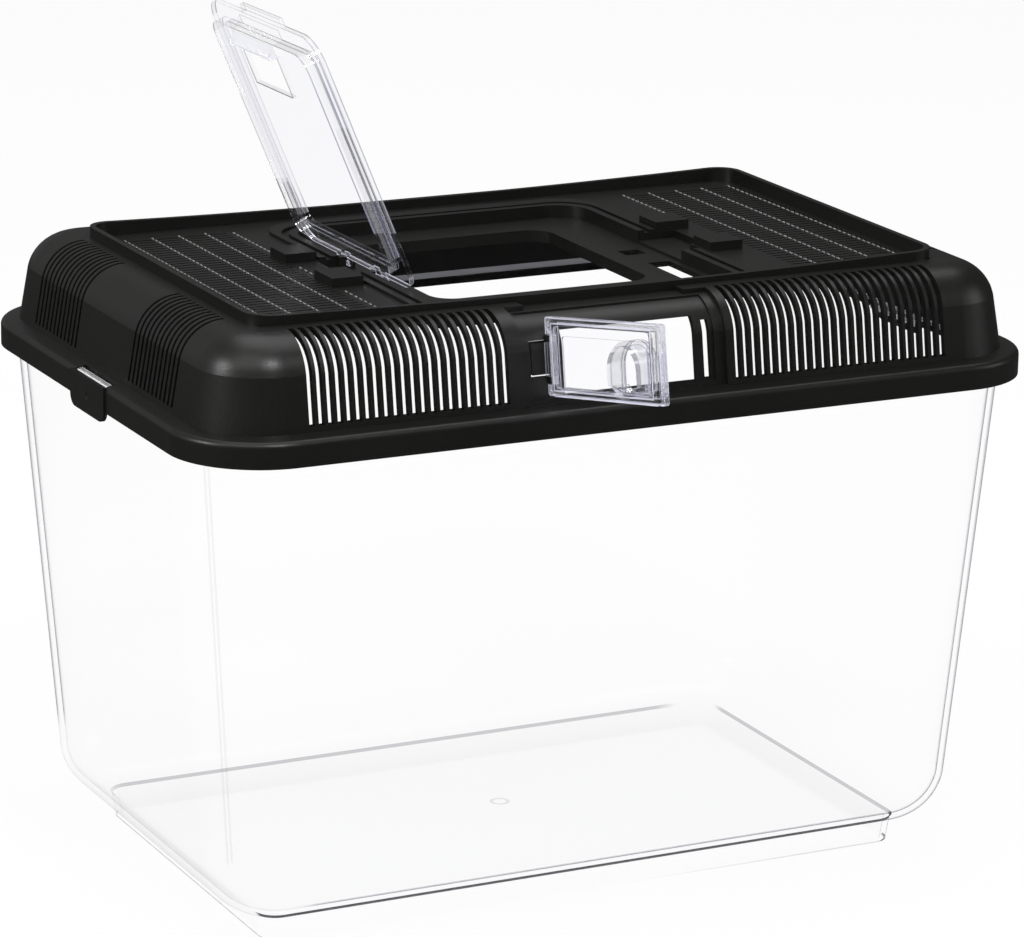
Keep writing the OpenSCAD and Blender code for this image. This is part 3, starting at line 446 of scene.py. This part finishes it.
def feed_moulding(settings):
    """Clear polystyrene feeding door: panel, frame and pocket, drawn by painted white highlights and painted dark lines
    of shade at their edges.
    """
    material, tree, out = new_material("clear_polystyrene_feeding_door")
    coords = add_node(tree, "ShaderNodeTexCoord")
    place = coords.outputs["Object"]
    flat = across_mask(tree, coords, FEED_ACROSS)
    upright = add_node(tree, "ShaderNodeMapRange", (flat, 0.0, 1.0, 1.0, 0.0), **SMOOTH)
    far = along(tree, place, FEED_AXIS, FEED_ALONG)
    up = along(tree, place, FEED_AXIS, FEED_UP)
    deep = along(tree, place, FEED_AXIS, FEED_ACROSS)
    outer, inner = (
        combine(tree, "MINIMUM", inset(tree, far, spans[0]), inset(tree, up, spans[1]))
        for spans in (FEED_PLATE, FEED_PANEL)
    )

    # moulded edges catch the light as white lines, with dark ones beside them: painted highlights and painted lines of
    # shade
    white = combine(tree, "MAXIMUM", window(tree, outer, -0.0002, 0.0004), window(tree, inner, -0.0009, -0.0005))
    outer_dark = combine(tree, "MULTIPLY", window(tree, outer, 0.0010, 0.0012), 0.6)
    dark = combine(tree, "MAXIMUM", outer_dark, window(tree, inner, -0.0003, 0.0001))
    levels = lines_at(tree, deep, FEED_LEVELS, FEED_LINE_HALF, 0.0001)

    # share of the refracting solid: in the walls, in the raised frame, and in the lines
    shares = (settings.frame_share, settings.wall_share)
    pocket = add_node(tree, "ShaderNodeMapRange", (deep, *FEED_POCKET), **SMOOTH)
    wall = add_node(tree, "ShaderNodeMapRange", (levels, 0.0, 1.0, *shares), **SMOOTH)
    wall = add_node(tree, "ShaderNodeMix", {0: pocket, 2: settings.wall_share, 3: wall})
    panel = add_node(tree, "ShaderNodeMapRange", (inner, -0.0004, 0.0), **SMOOTH)
    rim = add_node(tree, "ShaderNodeMapRange", (panel, 0.0, 1.0, settings.frame_share, 0.0), **SMOOTH)
    share = combine(
        tree,
        "MAXIMUM",
        combine(tree, "MULTIPLY", upright, wall),
        combine(tree, "MULTIPLY", flat, rim),
        combine(tree, "MULTIPLY", flat, combine(tree, "MAXIMUM", white, dark), 0.7),
    )

    # painted shade: dark lines at the pocket's edges and beside the frame's white lines, and a grey violet tint on the
    # walls
    pocket_line_shade = combine(tree, "MULTIPLY", upright, levels, pocket, 0.8)
    painted_line_shade = combine(tree, "MAXIMUM", combine(tree, "MULTIPLY", flat, dark), pocket_line_shade)
    wall_shade_tint = linear(settings_hex(settings.wall_shade_tint))
    tint = add_node(tree, "ShaderNodeMix", {0: flat, 6: wall_shade_tint, 7: linear("f4f4fa")}, **COLOURS).outputs[2]
    tint = add_node(tree, "ShaderNodeMix", {0: painted_line_shade, 6: tint, 7: linear("38384a")}, **COLOURS).outputs[2]
    # painted highlight: the white lines, and a painted sheen on the walls, laid on as milky white
    bright = combine(tree, "MULTIPLY", flat, white, 0.85)
    haze_and_sheen = combine(tree, "MAXIMUM", bright, combine(tree, "MULTIPLY", upright, settings.haze_and_sheen))
    body = clear_body(tree, place, tint, 0.00008, haze_and_sheen)
    whole = see_through(tree, body, share, linear("fefeff"), settings.gloss)
    tree.links.new(whole.outputs[0], out.inputs[0])
    return material


def dress(node_name, material):
    """Gives every slot of a CAD node's object the same finish."""
    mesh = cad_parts[node_name].data
    if not mesh.materials:
        mesh.materials.append(material)
    for i in range(len(mesh.materials)):
        mesh.materials[i] = material


# ---------- settings ----------
class LidSettings(bpy.types.PropertyGroup):
    """Finish of the black lid and the beads of its grille."""

    roughness: FloatProperty(
        name="Roughness", description="Roughness of the satin black plastic", default=0.37, min=0.2, max=0.7
    )
    grain_size: FloatProperty(name="Grain Size", description="Size of the moulded grain", default=0.0005, unit="LENGTH")
    bead_length: FloatProperty(
        name="Bead Length", description="Length of one bead on a grille rib", default=0.0025, unit="LENGTH"
    )
    bead_width: FloatProperty(name="Bead Width", description="Width of one bead", default=0.0006, unit="LENGTH")
    bead_height: FloatProperty(
        name="Bead Height", description="Height of one bead above the deck", default=0.0003, unit="LENGTH"
    )
    bead_pitch: FloatProperty(
        name="Bead Pitch", description="Spacing of the beads along a rib", default=0.00322, unit="LENGTH"
    )


class ClearSettings(bpy.types.PropertyGroup):
    """Finish of the clear pieces, with their painted shade and sheen."""

    # painted shade: grey laid on the tub where it turns away
    tub_bend_shade: FloatVectorProperty(
        name="Tub Bends",
        description="Colour of the tub where it turns away",
        subtype="COLOR_GAMMA",
        size=3,
        default=(0.80, 0.80, 0.83),
    )
    # painted shade: grey violet tint on the doors' walls and edges
    wall_shade_tint: FloatVectorProperty(
        name="Door Walls",
        description="Colour of the doors' edges and walls",
        subtype="COLOR_GAMMA",
        size=3,
        default=(0.86, 0.86, 0.91),
    )
    gloss: FloatProperty(
        name="Face Gloss",
        description="Strength of the mirror gloss on flat clear faces",
        default=0.12,
        min=0.0,
        max=1.0,
    )
    bend_share: FloatProperty(
        name="Tub Refraction", description="How strongly the tub's bends refract", default=0.3, min=0.0, max=1.0
    )
    wall_share: FloatProperty(
        name="Door Refraction",
        description="How strongly the doors' edges and walls refract",
        default=0.75,
        min=0.0,
        max=1.0,
    )
    frame_share: FloatProperty(
        name="Feeding Door Frame",
        description="How strongly the feeding door's raised frame shows",
        default=0.28,
        min=0.0,
        max=1.0,
    )
    # painted sheen: milky white laid on the feeding door's walls
    haze_and_sheen: FloatProperty(
        name="Haze", description="Milkiness of the feeding door's edges", default=0.22, min=0.0, max=1.0
    )
    gate_radius: FloatProperty(
        name="Gate Radius", description="Radius of the gate mark in the tub's floor", default=0.0032, unit="LENGTH"
    )


class StudioSettings(bpy.types.PropertyGroup):
    """Plain studio."""

    key_power: FloatProperty(
        name="Key Power", description="Power of the large soft lamps", default=12.0, unit="POWER"
    )
    side_power: FloatProperty(
        name="Side Power", description="Power of the small lamps at the left and in front", default=10.0, unit="POWER"
    )
    fill_power: FloatProperty(
        name="Fill Power", description="Power of the fill lamp at the right", default=5.0, unit="POWER"
    )
    lens: FloatProperty(name="Lens", description="Focal length of the camera", default=162.73, unit="CAMERA")


# ---------- geometry node tree ----------
def bead_tree(material):
    """Low rounded beads at an even pitch along every edge of the input mesh; all edges run along Y."""
    tree = bpy.data.node_groups.new("rib_beads", "GeometryNodeTree")
    face = tree.interface
    face.new_socket("Geometry", in_out="INPUT", socket_type="NodeSocketGeometry")
    for name in ("Pitch", "Length", "Width", "Height"):
        face.new_socket(name, in_out="INPUT", socket_type="NodeSocketFloat")
    face.new_socket("Geometry", in_out="OUTPUT", socket_type="NodeSocketGeometry")
    given = tree.nodes.new("NodeGroupInput").outputs
    out = tree.nodes.new("NodeGroupOutput")
    lines = add_node(tree, "GeometryNodeMeshToCurve", {"Mesh": given["Geometry"]})
    points = add_node(tree, "GeometryNodeCurveToPoints", {"Curve": lines, "Length": given["Pitch"]}, mode="LENGTH")
    size = add_node(tree, "ShaderNodeCombineXYZ", (given["Width"], given["Length"], given["Height"]))
    half = add_node(tree, "ShaderNodeVectorMath", (size, (0.5, 0.5, 1.0)), operation="MULTIPLY")
    bead = add_node(tree, "GeometryNodeMeshUVSphere", {"Segments": 8, "Rings": 6, "Radius": 1.0})
    beads = add_node(tree, "GeometryNodeInstanceOnPoints", {"Points": points, "Instance": bead, "Scale": half})
    real = add_node(tree, "GeometryNodeRealizeInstances", {"Geometry": beads})
    coat = add_node(tree, "GeometryNodeSetMaterial", {"Geometry": real, "Material": material})
    tree.links.new(coat.outputs[0], out.inputs[0])
    return tree


def baked(obj, name):
    """The evaluated object as a plain mesh object of its own."""
    graph = bpy.context.evaluated_depsgraph_get()
    graph.update()
    mesh = bpy.data.meshes.new_from_object(obj.evaluated_get(graph), depsgraph=graph)
    mesh.name = name
    for polygon in mesh.polygons:
        polygon.use_smooth = True
    result = bpy.data.objects.new(name, mesh)
    bpy.context.scene.collection.objects.link(result)
    bpy.data.objects.remove(obj)
    return result


# ---------- studio ----------
def seen_straight(tree, path):
    """1 on camera rays and on rays that have come through a clear piece, 0 on the others."""
    deep = add_node(tree, "ShaderNodeMath", (path.outputs["Transmission Depth"], 0.5), operation="GREATER_THAN")
    return combine(tree, "MAXIMUM", path.outputs["Is Camera Ray"], path.outputs["Is Transmission Ray"], deep)


def studio_world(scene):
    """White surroundings to the eye; dim walls in what the pieces mirror, the one behind and to the left paler."""
    world = bpy.data.worlds.new("studio")
    scene.world = world
    world.use_nodes = True
    tree = world.node_tree
    tree.nodes.clear()
    out = tree.nodes.new("ShaderNodeOutputWorld")
    path = add_node(tree, "ShaderNodeLightPath")
    way = add_node(tree, "ShaderNodeTexCoord").outputs["Generated"]
    left = add_node(tree, "ShaderNodeVectorMath", (way, PALE_WALL), operation="DOT_PRODUCT").outputs["Value"]
    walls = add_node(tree, "ShaderNodeMapRange", (left, -0.3, 0.9, 0.05, 0.30), **SMOOTH)
    power = add_node(tree, "ShaderNodeMix", {0: path.outputs["Is Glossy Ray"], 2: 0.42, 3: walls})
    soft = add_node(tree, "ShaderNodeBackground", {"Color": WHITE, "Strength": power})
    white = add_node(tree, "ShaderNodeBackground", {"Color": WHITE, "Strength": 1.0})
    both = add_node(tree, "ShaderNodeMixShader", (seen_straight(tree, path), soft, white))
    tree.links.new(both.outputs[0], out.inputs[0])


def white_paper():
    """Matt white paper: nearly pure white to the eye, dim in what the pieces mirror."""
    material, tree, out = new_material("white_paper")
    path = add_node(tree, "ShaderNodeLightPath")
    place = add_node(tree, "ShaderNodeTexCoord").outputs["Object"]
    fibre = add_node(tree, "ShaderNodeTexNoise", {"Vector": place, "Scale": 400.0, "Detail": 2.0})
    pale = add_node(tree, "ShaderNodeMix", {0: fibre, 6: linear("e8e8e8"), 7: linear("f0f0f0")}, **COLOURS).outputs[2]
    mirrored = path.outputs["Is Glossy Ray"]
    dim = add_node(tree, "ShaderNodeMix", {0: mirrored, 6: pale, 7: linear("4a4a4a")}, **COLOURS).outputs[2]
    matt = add_node(tree, "ShaderNodeBsdfDiffuse", {"Color": dim})
    glow = add_node(tree, "ShaderNodeEmission", {"Color": WHITE, "Strength": 1.0})
    part = combine(tree, "MULTIPLY", seen_straight(tree, path), 0.92)
    both = add_node(tree, "ShaderNodeMixShader", (part, matt, glow))
    tree.links.new(both.outputs[0], out.inputs[0])
    return material


def studio_floor(scene):
    """A wide sheet of white paper under the piece."""
    mesh = bpy.data.meshes.new("studio_floor")
    s = FLOOR_HALF
    mesh.from_pydata([(-s, -s, 0), (s, -s, 0), (s, s, 0), (-s, s, 0)], [], [(0, 1, 2, 3)])
    mesh.materials.append(white_paper())
    floor = bpy.data.objects.new("studio_floor", mesh)
    scene.collection.objects.link(floor)


def studio_lamps(scene, settings):
    """Square soft lamps, each as name, place, target, size in m and power."""
    for name, where, target, size, power in (
        ("key", (-0.9, -0.7, 1.5), (0, 0, 0.15), 1.1, 0.6 * settings.key_power),
        ("top", (0.25, 0.35, 1.7), (0, 0, 0.2), 1.4, settings.key_power),
        ("left", (-1.47, 0.03, 0.88), (-0.13, -0.08, 0.19), 0.45, settings.side_power),
        ("front", (-0.05, -1.12, 1.28), (-0.12, -0.09, 0.19), 0.30, settings.side_power),
        ("right", (1.6, -0.9, 0.7), (0, 0, 0.15), 0.9, settings.fill_power),
    ):
        data = bpy.data.lights.new(name, "AREA")
        data.shape = "SQUARE"
        data.size = size
        data.energy = power
        lamp = bpy.data.objects.new(name, data)
        lamp.location = where
        aim = Vector(target) - Vector(where)
        lamp.rotation_euler = aim.to_track_quat("-Z", "Y").to_euler()
        scene.collection.objects.link(lamp)


def studio_camera(scene, settings):
    """A long lens from the front left, looking slightly down."""
    yaw, pitch, roll = (math.radians(angle) for angle in CAMERA_TURN)
    forward = Vector((math.sin(yaw) * math.cos(pitch), math.cos(yaw) * math.cos(pitch), math.sin(pitch)))
    level = Vector((math.cos(yaw), -math.sin(yaw), 0.0))
    upright = level.cross(forward)
    right = math.cos(roll) * level + math.sin(roll) * upright
    up = -math.sin(roll) * level + math.cos(roll) * upright
    data = bpy.data.cameras.new("studio_camera")
    data.sensor_width = 36.0
    data.lens = settings.lens
    data.clip_start = 0.05
    camera = bpy.data.objects.new("studio_camera", data)
    turn = Matrix((right, up, -forward)).transposed().to_4x4()
    camera.matrix_world = Matrix.Translation(CAMERA_PLACE) @ turn
    scene.collection.objects.link(camera)
    scene.camera = camera


# ---------- operators ----------
class KEEPER_OT_tub(bpy.types.Operator):
    """Finish the clear tub, with painted shade in its bends and crease, its gate mark and its frosted lugs with painted
    highlights
    """

    bl_idname = "keeper.tub"
    bl_label = "Clear Tub"

    def execute(self, context):
        dress("tub", tub_moulding(context.scene.keeper_clear))
        return {"FINISHED"}


class KEEPER_OT_lid(bpy.types.Operator):
    """Finish the black lid"""

    bl_idname = "keeper.lid"
    bl_label = "Black Lid"

    def execute(self, context):
        dress("lid", black_moulding(context.scene.keeper_lid))
        return {"FINISHED"}


class KEEPER_OT_grille(bpy.types.Operator):
    """Lay the rows of small beads along the grille's ribs"""

    bl_idname = "keeper.grille"
    bl_label = "Grille Beads"

    def execute(self, context):
        settings = context.scene.keeper_lid
        tree = bead_tree(rib_top_painted_highlight())
        points = [(x * MM, y * MM, DECK_TOP * MM) for x, low, high in GRILLE_RIBS for y in (low, high)]
        edges = [(2 * i, 2 * i + 1) for i in range(len(GRILLE_RIBS))]
        mesh = bpy.data.meshes.new("rib_lines")
        mesh.from_pydata(points, edges, [])
        lines = bpy.data.objects.new("rib_lines", mesh)
        context.scene.collection.objects.link(lines)
        modifier = lines.modifiers.new("Beads", "NODES")
        modifier.node_group = tree
        values = {
            "Pitch": settings.bead_pitch,
            "Length": settings.bead_length,
            "Width": settings.bead_width,
            "Height": settings.bead_height,
        }
        for item in tree.interface.items_tree:
            if item.in_out == "INPUT" and item.name in values:
                modifier[item.identifier] = values[item.name]
        beads = baked(lines, "grille_beads")
        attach(beads, "lid")
        return {"FINISHED"}


class KEEPER_OT_doors(bpy.types.Operator):
    """Finish the clear hatch and the clear feeding door"""

    bl_idname = "keeper.doors"
    bl_label = "Clear Doors"

    def execute(self, context):
        settings = context.scene.keeper_clear
        dress("top_door", hatch_moulding(settings))
        dress("front_door", feed_moulding(settings))
        return {"FINISHED"}


class KEEPER_OT_stage(bpy.types.Operator):
    """Set the floor, the soft lamps, the white surroundings and the camera"""

    bl_idname = "keeper.stage"
    bl_label = "Studio"

    def execute(self, context):
        scene = context.scene
        scene.view_settings.view_transform = "Standard"
        studio_world(scene)
        studio_floor(scene)
        studio_lamps(scene, scene.keeper_studio)
        studio_camera(scene, scene.keeper_studio)
        return {"FINISHED"}


class KEEPER_PT_panel(bpy.types.Panel):
    """The keeper's steps, in order"""

    bl_idname = "KEEPER_PT_panel"
    bl_label = "Pet Keeper"
    bl_space_type = "VIEW_3D"
    bl_region_type = "UI"
    bl_category = "Pet Keeper"

    def draw(self, context):
        column = self.layout.column()
        for step in STEPS:
            column.operator(step.bl_idname)


STEPS = (KEEPER_OT_tub, KEEPER_OT_lid, KEEPER_OT_grille, KEEPER_OT_doors, KEEPER_OT_stage)
GROUPS = (LidSettings, ClearSettings, StudioSettings)


def register():
    for item in GROUPS + STEPS + (KEEPER_PT_panel,):
        bpy.utils.register_class(item)
    bpy.types.Scene.keeper_lid = PointerProperty(type=LidSettings)
    bpy.types.Scene.keeper_clear = PointerProperty(type=ClearSettings)
    bpy.types.Scene.keeper_studio = PointerProperty(type=StudioSettings)


def unregister():
    del bpy.types.Scene.keeper_studio
    del bpy.types.Scene.keeper_clear
    del bpy.types.Scene.keeper_lid
    for item in reversed(GROUPS + STEPS + (KEEPER_PT_panel,)):
        bpy.utils.unregister_class(item)


def main():
    register()
    bpy.ops.keeper.tub()
    bpy.ops.keeper.lid()
    bpy.ops.keeper.grille()
    bpy.ops.keeper.doors()
    bpy.ops.keeper.stage()


if __name__ == "__main__":
    main()
